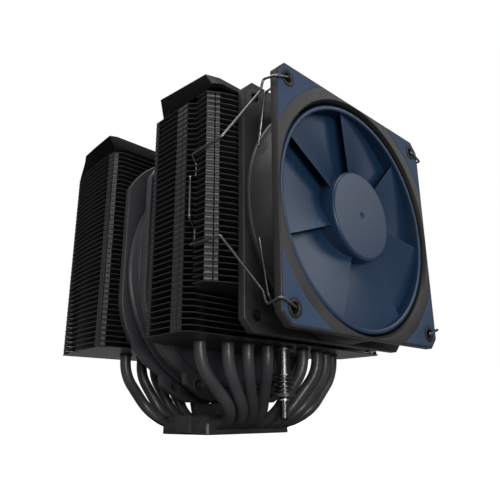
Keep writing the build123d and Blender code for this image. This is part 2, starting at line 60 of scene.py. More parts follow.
# The front fan's one low rib is in the looks only; the centre fan's two are in the CAD model too.
FRONT_FAN = SimpleNamespace(
    name="front_fan", body="front_fan", rotor="front_impeller", y=-99.3, z=101.7,
    bore_r=58.4, barrel_r=60.0, hub_r=22.6, ring_r=57.2, pad_r=65.0, ribs=[17.6], rib_h=0.5,
    holes=[(x, z) for x in (-FAN_HOLE, FAN_HOLE) for z in (-FAN_HOLE, FAN_HOLE)])
CENTRE_FAN = SimpleNamespace(
    name="centre_fan", body="centre_fan", rotor="centre_impeller", y=-13.7, z=85.2,
    bore_r=63.2, barrel_r=65.2, hub_r=23.0, ring_r=62.2, pad_r=66.4, ribs=[7.2, 16.4], rib_h=1.3,
    holes=[(-FAN_HOLE, FAN_HOLE), (FAN_HOLE, FAN_HOLE), (-31.5, -60.6), (31.5, -60.6)])
FLANGE_T, FAN_DEPTH = 4.0, 25.0
FLANGE_HALF, FLANGE_CUT = 60.0, 5.5    # half of the front fan's square, and its cut corners
WIRE_R = 0.6
SCREWS = {"front": -44.0, "rear": 44.0}
FIN_Z0, FIN_PITCH = 43.2, 2.75


# ---- Materials -----------------------------------------------------------------------

def wire(tree, source, target):
    tree.links.new(source, target)


def noise(tree, coords, scale, detail=3.0):
    node = tree.nodes.new("ShaderNodeTexNoise")
    node.inputs["Scale"].default_value = scale
    node.inputs["Detail"].default_value = detail
    wire(tree, coords, node.inputs["Vector"])
    return node.outputs["Fac"]


def span(tree, source, low, high, start=0.3, end=0.7):
    """Map start..end of a value to low..high."""
    node = tree.nodes.new("ShaderNodeMapRange")
    for name, value in (("From Min", start), ("From Max", end), ("To Min", low), ("To Max", high)):
        node.inputs[name].default_value = value
    wire(tree, source, node.inputs["Value"])
    return node.outputs["Result"]


def blend_colour(tree, factor, first, second):
    """Mix two colours; each is a colour or the output of another node."""
    node = tree.nodes.new("ShaderNodeMix")
    node.data_type = "RGBA"
    wire(tree, factor, node.inputs["Factor"])
    for name, value in (("A", first), ("B", second)):
        socket = [s for s in node.inputs if s.name == name and s.type == "RGBA"][0]
        if isinstance(value, tuple):
            socket.default_value = (*value, 1.0)
        else:
            wire(tree, value, socket)
    return [s for s in node.outputs if s.type == "RGBA"][0]


def make_material(name, colour, rough, metal=0.0, spread=0.25, patch=30.0, grain=2500.0, bump=0.25,
                  stretch=(1, 1, 1), rough_spread=0.1, worn=None, worn_amount=0.25, edge=None, beads=False,
                  specular=0.5):
    """Colour in soft patches, fine grain in roughness and relief, light wear, and its own colour for faces
    that face sideways.
    """
    material = bpy.data.materials.new(name)
    material.use_nodes = True
    tree = material.node_tree
    shader = tree.nodes["Principled BSDF"]
    coords = tree.nodes.new("ShaderNodeTexCoord")
    mapping = tree.nodes.new("ShaderNodeMapping")
    mapping.inputs["Scale"].default_value = stretch
    wire(tree, coords.outputs["Object"], mapping.inputs["Vector"])
    place = mapping.outputs["Vector"]
    fine = noise(tree, place, grain)
    broad = noise(tree, place, patch, 5.0)
    dark = tuple(c * (1 - spread) for c in colour)
    light = tuple(c * (1 + spread) for c in colour)
    tone = blend_colour(tree, span(tree, broad, 0, 1), dark, light)
    if worn:
        rub = noise(tree, place, patch * 9, 6.0)
        tone = blend_colour(tree, span(tree, rub, 0.0, worn_amount, 0.58, 0.75), tone, worn)
    # Faces that face sideways take the edge colour. Set lighter than the base colour, it is a painted sheen
    # on them.
    if edge:
        split = tree.nodes.new("ShaderNodeSeparateXYZ")
        wire(tree, coords.outputs["Normal"], split.inputs["Vector"])
        upright = tree.nodes.new("ShaderNodeMath")
        upright.operation = "ABSOLUTE"
        wire(tree, split.outputs["Z"], upright.inputs[0])
        tone = blend_colour(tree, span(tree, upright.outputs["Value"], 1.0, 0.0, 0.2, 0.8), tone, edge)
    wire(tree, tone, shader.inputs["Base Color"])
    wire(tree, span(tree, fine, rough - rough_spread, rough + rough_spread), shader.inputs["Roughness"])
    relief = tree.nodes.new("ShaderNodeBump")
    relief.inputs["Strength"].default_value = bump
    relief.inputs["Distance"].default_value = 0.0001
    wire(tree, fine, relief.inputs["Height"])
    wire(tree, relief.outputs["Normal"], shader.inputs["Normal"])
    shader.inputs["Metallic"].default_value = metal
    shader.inputs["Specular IOR Level"].default_value = specular
    if beads:
        add_beads(tree, coords.outputs["Object"], relief, shader)
    return material


BEAD_MIDDLE = 0.58                     # where a bead is thickest, as a part of the fin pitch


def add_beads(tree, place, relief, shader):
    """Relief that swells the fold tabs between one fin and the next, with a crease where they meet."""
    split = tree.nodes.new("ShaderNodeSeparateXYZ")
    wire(tree, place, split.inputs["Vector"])
    level = split.outputs["Z"]
    for operation, value in (("SUBTRACT", FIN_Z0 * MM), ("DIVIDE", FIN_PITCH * MM), ("FRACT", 0.0),
                             ("SUBTRACT", BEAD_MIDDLE), ("POWER", 2.0), ("MULTIPLY", -4.0)):
        step = tree.nodes.new("ShaderNodeMath")
        step.operation = operation
        wire(tree, level, step.inputs[0])
        step.inputs[1].default_value = value
        level = step.outputs["Value"]
    swell = tree.nodes.new("ShaderNodeBump")
    swell.inputs["Strength"].default_value = 0.8
    swell.inputs["Distance"].default_value = 0.0006
    wire(tree, level, swell.inputs["Height"])
    wire(tree, relief.outputs["Normal"], swell.inputs["Normal"])
    wire(tree, swell.outputs["Normal"], shader.inputs["Normal"])


LOOKS = {
    # fin_black's edge colour, a painted sheen on sideways faces, is set equal to its base colour.
    "fin_black": dict(colour=(0.029, 0.028, 0.029), rough=0.38, edge=(0.029, 0.028, 0.029), patch=60,
                      bump=0.1, specular=0.4, worn=(0.05, 0.048, 0.05), beads=True),
    "pipe_black": dict(colour=(0.052, 0.049, 0.053), rough=0.36, patch=45, grain=1800, bump=0.35,
                       worn=(0.06, 0.056, 0.06), specular=0.45),
    "base_black": dict(colour=(0.040, 0.037, 0.038), rough=0.5, patch=80, bump=0.3,
                       worn=(0.07, 0.065, 0.068)),
    "contact_metal": dict(colour=(0.13, 0.118, 0.112), rough=0.4, metal=0.8, stretch=(1, 40, 1), bump=0.2,
                          patch=50),
    "cover_black": dict(colour=(0.0012, 0.0012, 0.0015), rough=0.5, patch=70, bump=0.1, specular=0.03,
                        grain=3500),
    "bar_black": dict(colour=(0.042, 0.040, 0.042), rough=0.42, patch=90, worn=(0.06, 0.058, 0.06)),
    "screw_steel": dict(colour=(0.11, 0.108, 0.11), rough=0.30, metal=1.0, stretch=(1, 1, 8), bump=0.2),
    "spring_steel": dict(colour=(0.24, 0.235, 0.24), rough=0.28, metal=1.0, grain=5000, bump=0.15),
    "wire_steel": dict(colour=(0.17, 0.166, 0.17), rough=0.3, metal=1.0, grain=5000, bump=0.2),
    "frame_plastic": dict(colour=(0.023, 0.0205, 0.022), rough=0.46, grain=3800, bump=0.35, spread=0.1),
    "throat_plastic": dict(colour=(0.007, 0.007, 0.008), rough=0.5, grain=3800, bump=0.3),
    "centre_frame_plastic": dict(colour=(0.042, 0.040, 0.045), rough=0.42, grain=3800, bump=0.35,
                                 spread=0.12),
    "blue_rubber": dict(colour=(0.034, 0.062, 0.120), rough=0.6, grain=3000, bump=0.35, spread=0.1,
                        specular=0.3),
    "dark_rubber": dict(colour=(0.016, 0.024, 0.040), rough=0.6, grain=3000, bump=0.35, specular=0.3),
    "blue_blades": dict(colour=(0.012, 0.035, 0.080), rough=0.36, grain=2600, bump=0.08, spread=0.08,
                        rough_spread=0.05, specular=0.45),
    "dark_blades": dict(colour=(0.040, 0.039, 0.047), rough=0.36, grain=2600, bump=0.08, rough_spread=0.06),
    "steel": dict(colour=(0.35, 0.35, 0.36), rough=0.32, metal=1.0, stretch=(1, 30, 1)),
    "magnet": dict(colour=(0.04, 0.038, 0.037), rough=0.7, grain=1500, bump=0.5),
    "bronze": dict(colour=(0.50, 0.34, 0.18), rough=0.45, metal=1.0, grain=3000, bump=0.4),
    "copper_wire": dict(colour=(0.55, 0.22, 0.10), rough=0.35, metal=1.0, stretch=(1, 1, 12), bump=0.6),
    "board_green": dict(colour=(0.015, 0.09, 0.04), rough=0.4, grain=1200, bump=0.2),
}
MATERIALS = {name: make_material(name, **look) for name, look in LOOKS.items()}

for part in frame["record"]["subparts"]:
    node = frame["nodes"][part["node"]]
    node.data.materials.clear()
    node.data.materials.append(MATERIALS[part["material_slot"]])


# ---- Mesh tools ----------------------------------------------------------------------

def arc(first, middle, last, steps=10):
    """Points of the circular arc through three points, both ends included."""
    (ax, ay), (bx, by), (cx, cy) = first, middle, last
    d = 2 * (ax * (by - cy) + bx * (cy - ay) + cx * (ay - by))
    a2, b2, c2 = ax * ax + ay * ay, bx * bx + by * by, cx * cx + cy * cy
    ux = (a2 * (by - cy) + b2 * (cy - ay) + c2 * (ay - by)) / d
    uy = (a2 * (cx - bx) + b2 * (ax - cx) + c2 * (bx - ax)) / d
    radius = hypot(ax - ux, ay - uy)
    start, mid, end = (atan2(p[1] - uy, p[0] - ux) for p in (first, middle, last))
    sweep, part = (end - start) % (2 * pi), (mid - start) % (2 * pi)
    if part > sweep:
        sweep -= 2 * pi
    return [(ux + radius * cos(start + sweep * k / steps), uy + radius * sin(start + sweep * k / steps))
            for k in range(steps + 1)]


def circle(radius, centre=(0, 0), steps=64):
    """Points of a full circle, each once."""
    return [(centre[0] + radius * cos(2 * pi * k / steps), centre[1] + radius * sin(2 * pi * k / steps))
            for k in range(steps)]


def bend(before, corner, after, radius, steps):
    """Points that round one corner of a path."""
    a, c, b = Vector(before), Vector(corner), Vector(after)
    to_a, to_b = (a - c).normalized(), (b - c).normalized()
    half = to_a.angle(to_b, pi) / 2
    if half > 0.495 * pi:              # the path runs straight on here
        return [c]
    reach = min(radius / max(1e-6, abs(tan(half))), 0.48 * (a - c).length, 0.48 * (b - c).length)
    start, end = c + to_a * reach, c + to_b * reach
    points = []
    for k in range(steps + 1):
        t = k / steps
        points.append((1 - t) ** 2 * start + 2 * t * (1 - t) * (c * 0.9 + (start + end) * 0.05) + t * t * end)
    return points


def rounded(points, radius, steps=4):
    """A closed outline with its corners rounded."""
    out = []
    for k, corner in enumerate(points):
        before, after = points[k - 1], points[(k + 1) % len(points)]
        out += [tuple(p) for p in bend((*before, 0), (*corner, 0), (*after, 0), radius, steps)]
    return [(p[0], p[1]) for p in out]


def mirrored(half):
    """A left-half outline, closed by its mirror image across x = 0."""
    return half + [(-x, y) for x, y in reversed(half) if abs(x) > 1e-6]


def winding(points):
    """Positive for an outline that runs anticlockwise, negative for the other way."""
    return sum(p[0] * q[1] - q[0] * p[1] for p, q in zip(points, points[1:] + points[:1]))


def slab(outline, holes=(), thickness=1.0, bevel=0.3, segments=2):
    """A plate from w = 0 to its thickness with rounded edges, as a bmesh in (u, v, w)."""
    curve = bpy.data.curves.new("slab", "CURVE")
    curve.dimensions = "2D"
    curve.fill_mode = "BOTH"
    curve.extrude = thickness / 2 - bevel
    curve.bevel_depth = bevel
    curve.bevel_resolution = segments - 1
    curve.offset = -bevel
    for number, loop in enumerate([outline, *holes]):
        if (winding(loop) > 0) != (number == 0):
            loop = loop[::-1]
        spline = curve.splines.new("POLY")
        spline.points.add(len(loop) - 1)
        for point, (u, v) in zip(spline.points, loop):
            point.co = (u, v, 0, 1)
        spline.use_cyclic_u = True
    holder = bpy.data.objects.new("slab", curve)
    mesh = bpy.data.meshes.new_from_object(holder)
    solid = bmesh.new()
    solid.from_mesh(mesh)
    bpy.data.objects.remove(holder)
    bpy.data.curves.remove(curve)
    bpy.data.meshes.remove(mesh)
    bmesh.ops.remove_doubles(solid, verts=solid.verts, dist=1e-4)
    bmesh.ops.translate(solid, verts=solid.verts, vec=(0, 0, thickness / 2))
    return solid


def lathe(profile, steps=96, closed=True):
    """Turn (radius, w) points about the w axis. Points at radius 0 become one vertex."""
    solid = bmesh.new()
    rings = []
    for radius, w in profile:
        if radius < 1e-6:
            rings.append([solid.verts.new((0, 0, w))] * steps)
        else:
            rings.append([solid.verts.new((*p, w)) for p in circle(radius, steps=steps)])
    pairs = list(zip(rings, rings[1:])) + ([(rings[-1], rings[0])] if closed else [])
    for low, high in pairs:
        for k in range(steps):
            corners = [low[k - 1], low[k], high[k], high[k - 1]]
            unique = [v for i, v in enumerate(corners) if v not in corners[:i]]
            if len(unique) > 2:
                solid.faces.new(unique)
    return solid


def tube(path, radius, sides=12):
    """A round bar along a smooth path, with rounded ends."""
    solid = bmesh.new()
    path = [Vector(p) for p in path]
    count = len(path)
    normal = None
    rings = []
    for k, point in enumerate(path):
        tangent = (path[min(k + 1, count - 1)] - path[max(k - 1, 0)]).normalized()
        if normal is None:
            normal = tangent.orthogonal().normalized()
        normal = (normal - tangent * normal.dot(tangent)).normalized()
        across = tangent.cross(normal)
        spots = [(0.0, 1.0)]
        if k == 0:
            spots = [(-radius, 0.35), (-0.6 * radius, 0.8), (0.0, 1.0)]
        elif k == count - 1:
            spots = [(0.0, 1.0), (0.6 * radius, 0.8), (radius, 0.35)]
        for along, scale in spots:
            centre = point + tangent * along * 0.5
            rings.append([solid.verts.new(centre + (normal * cos(2 * pi * s / sides)
                                                    + across * sin(2 * pi * s / sides)) * radius * scale)
                          for s in range(sides)])
    for low, high in zip(rings, rings[1:]):
        for s in range(sides):
            solid.faces.new((low[s - 1], low[s], high[s], high[s - 1]))
    solid.faces.new(rings[0])
    solid.faces.new(rings[-1][::-1])
    return solid


def prism(levels):
    """A closed solid through outlines of equal point counts: [(outline, z), ...]."""
    solid = bmesh.new()
    rings = [[solid.verts.new((x, y, z)) for x, y in outline] for outline, z in levels]
    for low, high in zip(rings, rings[1:]):
        for k in range(len(low)):
            solid.faces.new((low[k - 1], low[k], high[k], high[k - 1]))
    solid.faces.new(rings[0])
    solid.faces.new(rings[-1])
    return solid


def move(solid, place):
    """Put a bmesh at a new place with a function of (u, v, w)."""
    for vert in solid.verts:
        vert.co = place(*vert.co)
    return solid


def join(solids):
    """One bmesh from several, which are used up."""
    whole = bmesh.new()
    for solid in solids:
        mesh = bpy.data.meshes.new("part")
        solid.to_mesh(mesh)
        solid.free()
        whole.from_mesh(mesh)
        bpy.data.meshes.remove(mesh)
    return whole


def add_object(name, data):
    obj = bpy.data.objects.new(name, data)
    bpy.context.scene.collection.objects.link(obj)
    return obj


def mesh_object(name, solid):
    """A mesh object in metres from a bmesh in millimetres."""
    bmesh.ops.recalc_face_normals(solid, faces=solid.faces)
    bmesh.ops.scale(solid, verts=solid.verts, vec=(MM, MM, MM))
    mesh = bpy.data.meshes.new(name)
    solid.to_mesh(mesh)
    solid.free()
    return add_object(name, mesh)


def finish_piece(obj, material, body, nodes=(), smooth=35, bevel=0.0):
    """Give a mesh object its shading, material and body, and hide the CAD nodes it stands for."""
    if bevel:
        round_edges(obj, bevel)
    obj.data.materials.clear()
    obj.data.materials.append(MATERIALS[material])
    obj.data.shade_smooth()
    obj.data.set_sharp_from_angle(angle=radians(smooth))
    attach(obj, body)
    if nodes:
        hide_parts(*nodes)
    return obj


def piece(name, solids, material, body, nodes=(), smooth=35):
    """A finished piece from bmeshes in millimetres."""
    return finish_piece(mesh_object(name, join(solids)), material, body, nodes, smooth)


def round_edges(obj, width, angle=28):
    """Small rounded edges along an object's creases."""
    modifier = obj.modifiers.new("rounded", "BEVEL")
    modifier.width = width * MM
    modifier.segments = 2
    modifier.limit_method = "ANGLE"
    modifier.angle_limit = radians(angle)
    modifier.harden_normals = False
    modifier.use_clamp_overlap = True


def cut(obj, solid):
    """Take one solid out of an object, at once."""
    tool = mesh_object("cutter", solid)
    modifier = obj.modifiers.new("cut", "BOOLEAN")
    modifier.operation = "DIFFERENCE"
    modifier.solver = "EXACT"
    modifier.object = tool
    result = bpy.data.meshes.new_from_object(obj.evaluated_get(bpy.context.evaluated_depsgraph_get()))
    obj.modifiers.remove(modifier)
    obj.data = result
    bpy.data.objects.remove(tool)


# ---- Fans ----------------------------------------------------------------------------

SHOULDER = ((-66.5, 45.0), (-59.4, 56.2), (-49.8, 64.4))    # arc of the centre fan's upper left corner
SPOKES, SPOKE_START, SPOKE_LEAN = 5, 20, 14                 # count and angles in degrees
SPOKE_W, SPOKE_T = 3.6, 3.5
PAD_T, PAD_PROUD, PAD_PLAY, PAD_HOLE_R = 1.1, 0.22, 0.35, 4.3
PAD_START, PAD_CUT = 28.3, 5.2                              # front pads: nearest to the middle, cut corner
DIAGONAL = 0.7071                                           # cosine of 45 degrees
BLADES, BLADE_CAMBER = 7, 1.8


def on_fan(fan, depth):
    """Places (u, v, w) on a fan: u across, v up, w backwards from a depth."""
    return lambda u, v, w: (u, fan.y + depth + w, fan.z + v)


def fan_outline(fan):
    """The flange: a square with cut corners, or the centre fan's rounded shape with two feet."""
    if fan is FRONT_FAN:
        h, c = FLANGE_HALF, FLANGE_HALF - FLANGE_CUT
        return rounded([(c, h), (h, c), (h, -c), (c, -h), (-c, -h), (-h, -c), (-h, c), (-c, h)], 1.6)
    half = [(0, -68.8), (-24, -68.8), (-29.3, -66.5), (-39.4, -60.4)]
    half += arc((-40.3, -55.2), (-56.7, -42.6), (-67.0, -15.8), 18)
    half += arc(*SHOULDER, 8) + [(-42.0, 68.8), (0, 68.8)]
    return mirrored(half)


def pad_outline(fan, sx, sz):
    """One corner pad: the flange's corner outside a circle around the bore."""
    radius = fan.pad_r + PAD_PLAY
    if fan is FRONT_FAN:
        edge, start = FLANGE_HALF - 1.0, PAD_START + PAD_PLAY
        reach = (radius ** 2 - edge ** 2) ** 0.5
        inner = arc((edge, reach), (radius * DIAGONAL, radius * DIAGONAL), (reach, edge), 20)
        low = max(start, inner[0][1])
        inner = [p for p in inner if min(p) >= start - 0.5]
        outline = [(edge, low), (edge, edge - PAD_CUT), (edge - PAD_CUT, edge), (low, edge)] + inner[::-1]
        outline = rounded(outline, 1.3, 3)
    else:
        low, high, near = 27.0, 58.0, 20.0
        shoulder = [(-x - 0.5, y - 0.4) for x, y in arc(*SHOULDER, 8)]
        end = (near, (radius ** 2 - near ** 2) ** 0.5)
        inner = arc((65.3, 12.0), (radius * 0.75, radius * 0.6614), end, 30)
        outline = [(66.0, low)] + shoulder + [p for p in inner if low < p[1] < high][::-1]
    return [(sx * x, sz * y) for x, y in outline]


def spoke(fan, angle):
    """One support arm behind the blades, from the motor mount to the bore."""
    reach, half = (fan.bore_r + 1 - (fan.hub_r - 3)) / 2, SPOKE_W / 2
    middle = (fan.bore_r + fan.hub_r - 2) / 2
    box = [(-reach, -half), (reach, -half), (reach, half), (-reach, half)]
    solid = slab(rounded(box, 0.6, 2), thickness=SPOKE_T, bevel=0.9)
    turn, lean = radians(angle), radians(angle + SPOKE_LEAN)

    def place(u, v, w):
        x = middle * cos(turn) + u * cos(lean) - v * sin(lean)
        z = middle * sin(turn) + u * sin(lean) + v * cos(lean)
        return on_fan(fan, FAN_DEPTH - SPOKE_T)(x, z, w)
    return move(solid, place)


def build_frame(fan, material):
    """Flanges, barrel, arms and motor mount in one piece; then the bore's lining and the holes' rims."""
    bore = fan.bore_r + 0.8
    screw_holes = [circle(2.6, hole, 28) for hole in fan.holes]
    lining = "throat_plastic" if fan is FRONT_FAN else material
    parts = []
    for depth in (0.0, FAN_DEPTH - FLANGE_T):
        flange = slab(fan_outline(fan), [circle(bore, steps=160), *screw_holes], FLANGE_T, 0.45, 3)
        parts.append(move(flange, on_fan(fan, depth)))
    r = fan.barrel_r
    profile = [(fan.bore_r + 0.5, 3.6), (r - 0.5, 3.8), (r, 4.6)]
    for rib in fan.ribs:
        top = r + fan.rib_h
        profile += [(r, rib - 0.5), (top - 0.1, rib), (top, rib + 0.3), (top, rib + 1.1),
                    (top - 0.1, rib + 1.4), (r, rib + 1.9)]
    profile += [(r, 20.4), (r - 0.5, 21.2), (fan.bore_r + 0.5, 21.4)]
    parts.append(move(lathe(profile, 160), on_fan(fan, 0)))
    parts += [spoke(fan, SPOKE_START + 360 / SPOKES * k) for k in range(SPOKES)]
    m = fan.hub_r - 1.5
    mount = [(0, 24.5), (m - 4, 24.5), (m - 3.5, 25.0), (m - 0.8, 25.0), (m - 0.2, 24.8), (m, 24.2),
             (m, 20.2), (m - 1.3, 20.2), (m - 1.3, 21.8), (4.4, 21.8), (4.4, 8.5), (3.0, 8.5), (3.0, 21.8),
             (0, 21.8)]
    parts.append(move(lathe(mount, 96, closed=False), on_fan(fan, 0)))
    piece(f"{fan.name}_shell", parts, material, fan.body, [f"{fan.name}_frame"])

    b = fan.bore_r
    throat = [(bore + 0.15, 0.15), (bore - 0.1, 0.05), (b + 0.25, 1.0), (b, 1.9), (b, 23.1), (b + 0.25, 24.0),
              (bore - 0.1, 24.95), (bore + 0.15, 24.85)]
    piece(f"{fan.name}_throat", [move(lathe(throat, 160), on_fan(fan, 0))], lining, fan.body)
    bosses = []
    for hole in fan.holes:
        for depth, way in ((0.0, 1), (FAN_DEPTH, -1)):
            ring = lathe([(2.15, 3.9), (2.15, 0.3), (2.4, -0.2), (2.8, -0.5), (3.5, -0.5), (3.9, -0.25),
                          (4.05, 0.2), (4.05, 0.9), (2.6, 0.9), (2.6, 3.9)], 40)
            bosses.append(move(ring, lambda u, v, w: on_fan(fan, depth)(u + hole[0], v + hole[1], way * w)))
    piece(f"{fan.name}_bosses", bosses, lining, fan.body)


def build_pads(fan, material):
    """Rubber corners on both faces, four to a face on the front fan and two on the centre fan."""
    corners = [(sx, sz) for sx in (-1, 1) for sz in ((-1, 1) if fan is FRONT_FAN else (1,))]
    for side, depth, way in (("front", 0.0, 1), ("rear", FAN_DEPTH, -1)):
        pads = []
        for sx, sz in corners:
            hole = [circle(PAD_HOLE_R, h, 40) for h in fan.holes if h[0] * sx > 0 and h[1] * sz > 0]
            pad = slab(pad_outline(fan, sx, sz), hole, PAD_T, 0.25, 3)
            pads.append(move(pad, lambda u, v, w: on_fan(fan, depth)(u, v, way * (w - PAD_PROUD))))
        piece(f"{fan.name}_{side}_corner_pads", pads, material, fan.body, [f"{fan.name}_{side}_pads"])


def blade(fan, angle):
    """One curved, raked blade between the hub and the ring, thinner towards its edges.

    t runs from 0 at the hub to 1 at the ring, and s from -1 at the leading edge to 1 at the trailing edge.
    """
    stations, chords = 14, 18
    solid = bmesh.new()
    inner, outer = fan.hub_r - 0.6, fan.ring_r - 0.7
    front_side, back_side = [], []
    for i in range(stations + 1):
        t = i / stations
        radius = inner + t * (outer - inner)
        half_angle = 0.62 - 0.02 * t
        lead, trail, thick = 3.6 - 0.2 * t, 11.2 - 1.0 * t, 1.4 - 0.4 * t
        rows = ([], [])
        for c in range(chords + 1):
            s = 2 * c / chords - 1
            depth = (lead + trail) / 2 + s * (trail - lead) / 2 + BLADE_CAMBER * (1 - s * s)
            theta = angle + half_angle * s
            spot = (radius * sin(theta), radius * cos(theta))
            body = thick * (1 - 0.75 * s ** 4)
            rows[0].append(solid.verts.new((*spot, depth + (thick - body) / 2)))
            rows[1].append(solid.verts.new((*spot, depth + (thick + body) / 2)))
        front_side.append(rows[0])
        back_side.append(rows[1])
    for i in range(stations):
        for c in range(chords):
            for grid in (front_side, back_side):
                solid.faces.new((grid[i][c], grid[i][c + 1], grid[i + 1][c + 1], grid[i + 1][c]))
        for c in (0, chords):
            solid.faces.new((front_side[i][c], front_side[i + 1][c], back_side[i + 1][c], back_side[i][c]))
    for i in (0, stations):
        for c in range(chords):
            solid.faces.new((front_side[i][c], front_side[i][c + 1], back_side[i][c + 1], back_side[i][c]))
    return solid


def build_impeller(fan, material):
    """Blades, outer ring and hub cap in one piece."""
    parts = [blade(fan, 2 * pi * (k + 0.5) / BLADES) for k in range(BLADES)]
    r, h = fan.ring_r, fan.hub_r
    ring = [(r - 1.4, 4.6), (r - 2.3, 2.9), (r - 2.2, 2.2), (r - 1.6, 1.85), (r - 0.8, 1.8), (r - 0.25, 1.95),
            (r, 2.4), (r, 15.1), (r - 0.3, 15.6), (r - 1.1, 15.6), (r - 1.4, 15.1)]
    parts.append(lathe(ring, 180))
    dimple = [(0, 1.1), (0.8, 1.05), (1.2, 0.7), (1.6, 0.54), (2.0, 0.5), (2.5, 0.5)]
    rounded_edge = [(h - 1.9, 0.5), (h - 1.4, 0.5), (h - 0.9, 0.6), (h - 0.4, 0.9), (h - 0.1, 1.4), (h, 2.0)]
    wall = [(h, 2.6), (h, 16.6), (h - 0.3, 17.0), (h - 1.2, 17.0), (h - 1.5, 16.7), (h - 1.5, 2.8)]
    shaft_boss = [(3.4, 2.8), (3.4, 5.8), (1.6, 5.8), (1.6, 2.9), (0, 2.9)]
    cap = dimple + rounded_edge + wall + shaft_boss
    parts.append(lathe(cap, 120, closed=False))
    for part in parts:
        move(part, on_fan(fan, 0))
    piece(f"{fan.name}_blade_ring", parts, material, fan.rotor, [f"{fan.name}_impeller"], smooth=42)


for fan, frame_material, pad_material, blade_material in (
        (FRONT_FAN, "frame_plastic", "blue_rubber", "blue_blades"),
        (CENTRE_FAN, "centre_frame_plastic", "dark_rubber", "dark_blades")):
    build_frame(fan, frame_material)
    build_pads(fan, pad_material)
    build_impeller(fan, blade_material)


# ---- Wire clips ----------------------------------------------------------------------

def build_clip(side, name):
    """Spring wire from its tail through the fixing hole, over the edge and into the fin notch."""
    tail_x, edge_x, arm_x, notch_x, grip_x = 58.6, 61.4, 74.8, 70.9, 76.5
    face_y = FRONT_FAN.y - WIRE_R - 0.5
    upper = [(tail_x, -86.3, 21.5), (tail_x, -90.8, 46.5), (FAN_HOLE, -90.8, FAN_HOLE),
             (FAN_HOLE, face_y, FAN_HOLE), (edge_x, face_y, 49.2), (edge_x, -92.6, 51.2),
             (edge_x + 0.3, -91.0, 45.4), (arm_x, -80.0, 22.4), (arm_x, -59.8, 21.8),
             (notch_x, -57.9, 19.0), (notch_x, -57.9, 12.4), (grip_x, -61.0, 9.6)]
    lower = [(x, y, -z) for x, y, z in reversed(upper)]
    # The part near the fin notch sits a little lower than the rest.
    route = [(side * x, y, FRONT_FAN.z - 0.2 * (abs(z) < 30) + z) for x, y, z in upper + lower]
    path = [Vector(route[0])]
    for k in range(1, len(route) - 1):
        path += bend(route[k - 1], route[k], route[k + 1], 1.5, 5)
    path.append(Vector(route[-1]))
    piece(f"{name}_wire", [tube(path, WIRE_R, 14)], "wire_steel", "front_fan", [name], smooth=60)


build_clip(-1, "fan_clip_left")
build_clip(1, "fan_clip_right")


# ---- Top covers ----------------------------------------------------------------------

COVER_Z = (153.75, 155.85, 165.6)      # foot and top of the upright rim, then the flat top
COVER_WALL = 1.6
DRIVER_HOLE_R = 4.8                    # the screwdriver's way down to a mounting screw
SLOTS, SLOT_X, SLOT_STEP = 4, 18, 9    # slots on each side of that hole
SLOT_R, SLOT_STRAIGHT, SLOT_DEPTH = 0.8, 14.2, 0.6


def inset(points, amount):
    """An outline moved inwards by an amount."""
    sign = 1 if winding(points) > 0 else -1
    out = []
    for k, p in enumerate(points):
        a, b, c = Vector(points[k - 1]), Vector(p), Vector(points[(k + 1) % len(points)])
        n1 = Vector((a.y - b.y, b.x - a.x)).normalized() * sign
        n2 = Vector((b.y - c.y, c.x - b.x)).normalized() * sign
        both = n1 + n2
        out.append(tuple(b + both * (2 * amount / both.length_squared)))
    return out


def build_cover(name, rim, top, hole_y):
    """A hollow cap with leaning sides, a screwdriver hole and shallow slots."""
    rim, top = mirrored(rim), mirrored(top)
    z0, z1, z2 = COVER_Z
    obj = mesh_object(f"{name}_shell", prism([(rim, z0), (rim, z1), (top, z2)]))
    cut(obj, prism([(inset(rim, COVER_WALL), z0 - 1), (inset(rim, COVER_WALL), z1),
                    (inset(top, COVER_WALL), z2 - COVER_WALL)]))
    cut(obj, move(lathe([(0, 0), (DRIVER_HOLE_R, 0), (DRIVER_HOLE_R, 4), (0, 4)], 48, closed=False),
                  lambda u, v, w: (u, v + hole_y, w + z2 - 3)))
    for k in range(SLOTS):
        for side in (-1, 1):
            x = side * (SLOT_X + SLOT_STEP * k)
            left, right, y = x - SLOT_R, x + SLOT_R, SLOT_STRAIGHT
            ends = arc((right, hole_y + y), (x, hole_y + y + SLOT_R), (left, hole_y + y), 6)
            ends += arc((left, hole_y - y), (x, hole_y - y - SLOT_R), (right, hole_y - y), 6)
            cut(obj, prism([(ends, z2 - SLOT_DEPTH), (ends, z2 + 1)]))
    finish_piece(obj, "cover_black", "cooler", [name], smooth=30, bevel=0.3)


build_cover(
    "front_cover",
    [(-69.5, -74.0), (-73.5, -71.3), (-73.5, -38.0), (-56.0, -14.8)],
    [(-64.3, -66.0), (-71.3, -63.8), (-74.3, -30.7), (-61.0, -14.8)], SCREWS["front"])
build_cover(
    "rear_cover",
    [(-69.5, 12.2), (-73.5, 15.0), (-73.5, 38.0), (-72.0, 52.0), (-68.5, 65.7)],
    [(-70.5, 18.2), (-74.6, 20.0), (-73.6, 38.0), (-72.3, 53.0), (-68.0, 62.5)], SCREWS["rear"])


# ---- Mounting screws -----------------------------------------------------------------

SPRING_Z = (20.05, 28.55)
SPRING_R, SPRING_WIRE_R, SPRING_TURNS = 4.6, 0.5, 4.2
THREAD_Z = (8.0, 15.8)
THREAD_R, THREAD_PITCH, THREAD_WIRE_R = 2.02, 0.75, 0.17


def helix(radius, z0, z1, pitch, y, per_turn=28):
    """A rising coil around a screw's axis."""
    count = int((z1 - z0) / pitch * per_turn)
    return [(radius * cos(2 * pi * k / per_turn), y + radius * sin(2 * pi * k / per_turn),
             z0 + (z1 - z0) * k / count) for k in range(count + 1)]


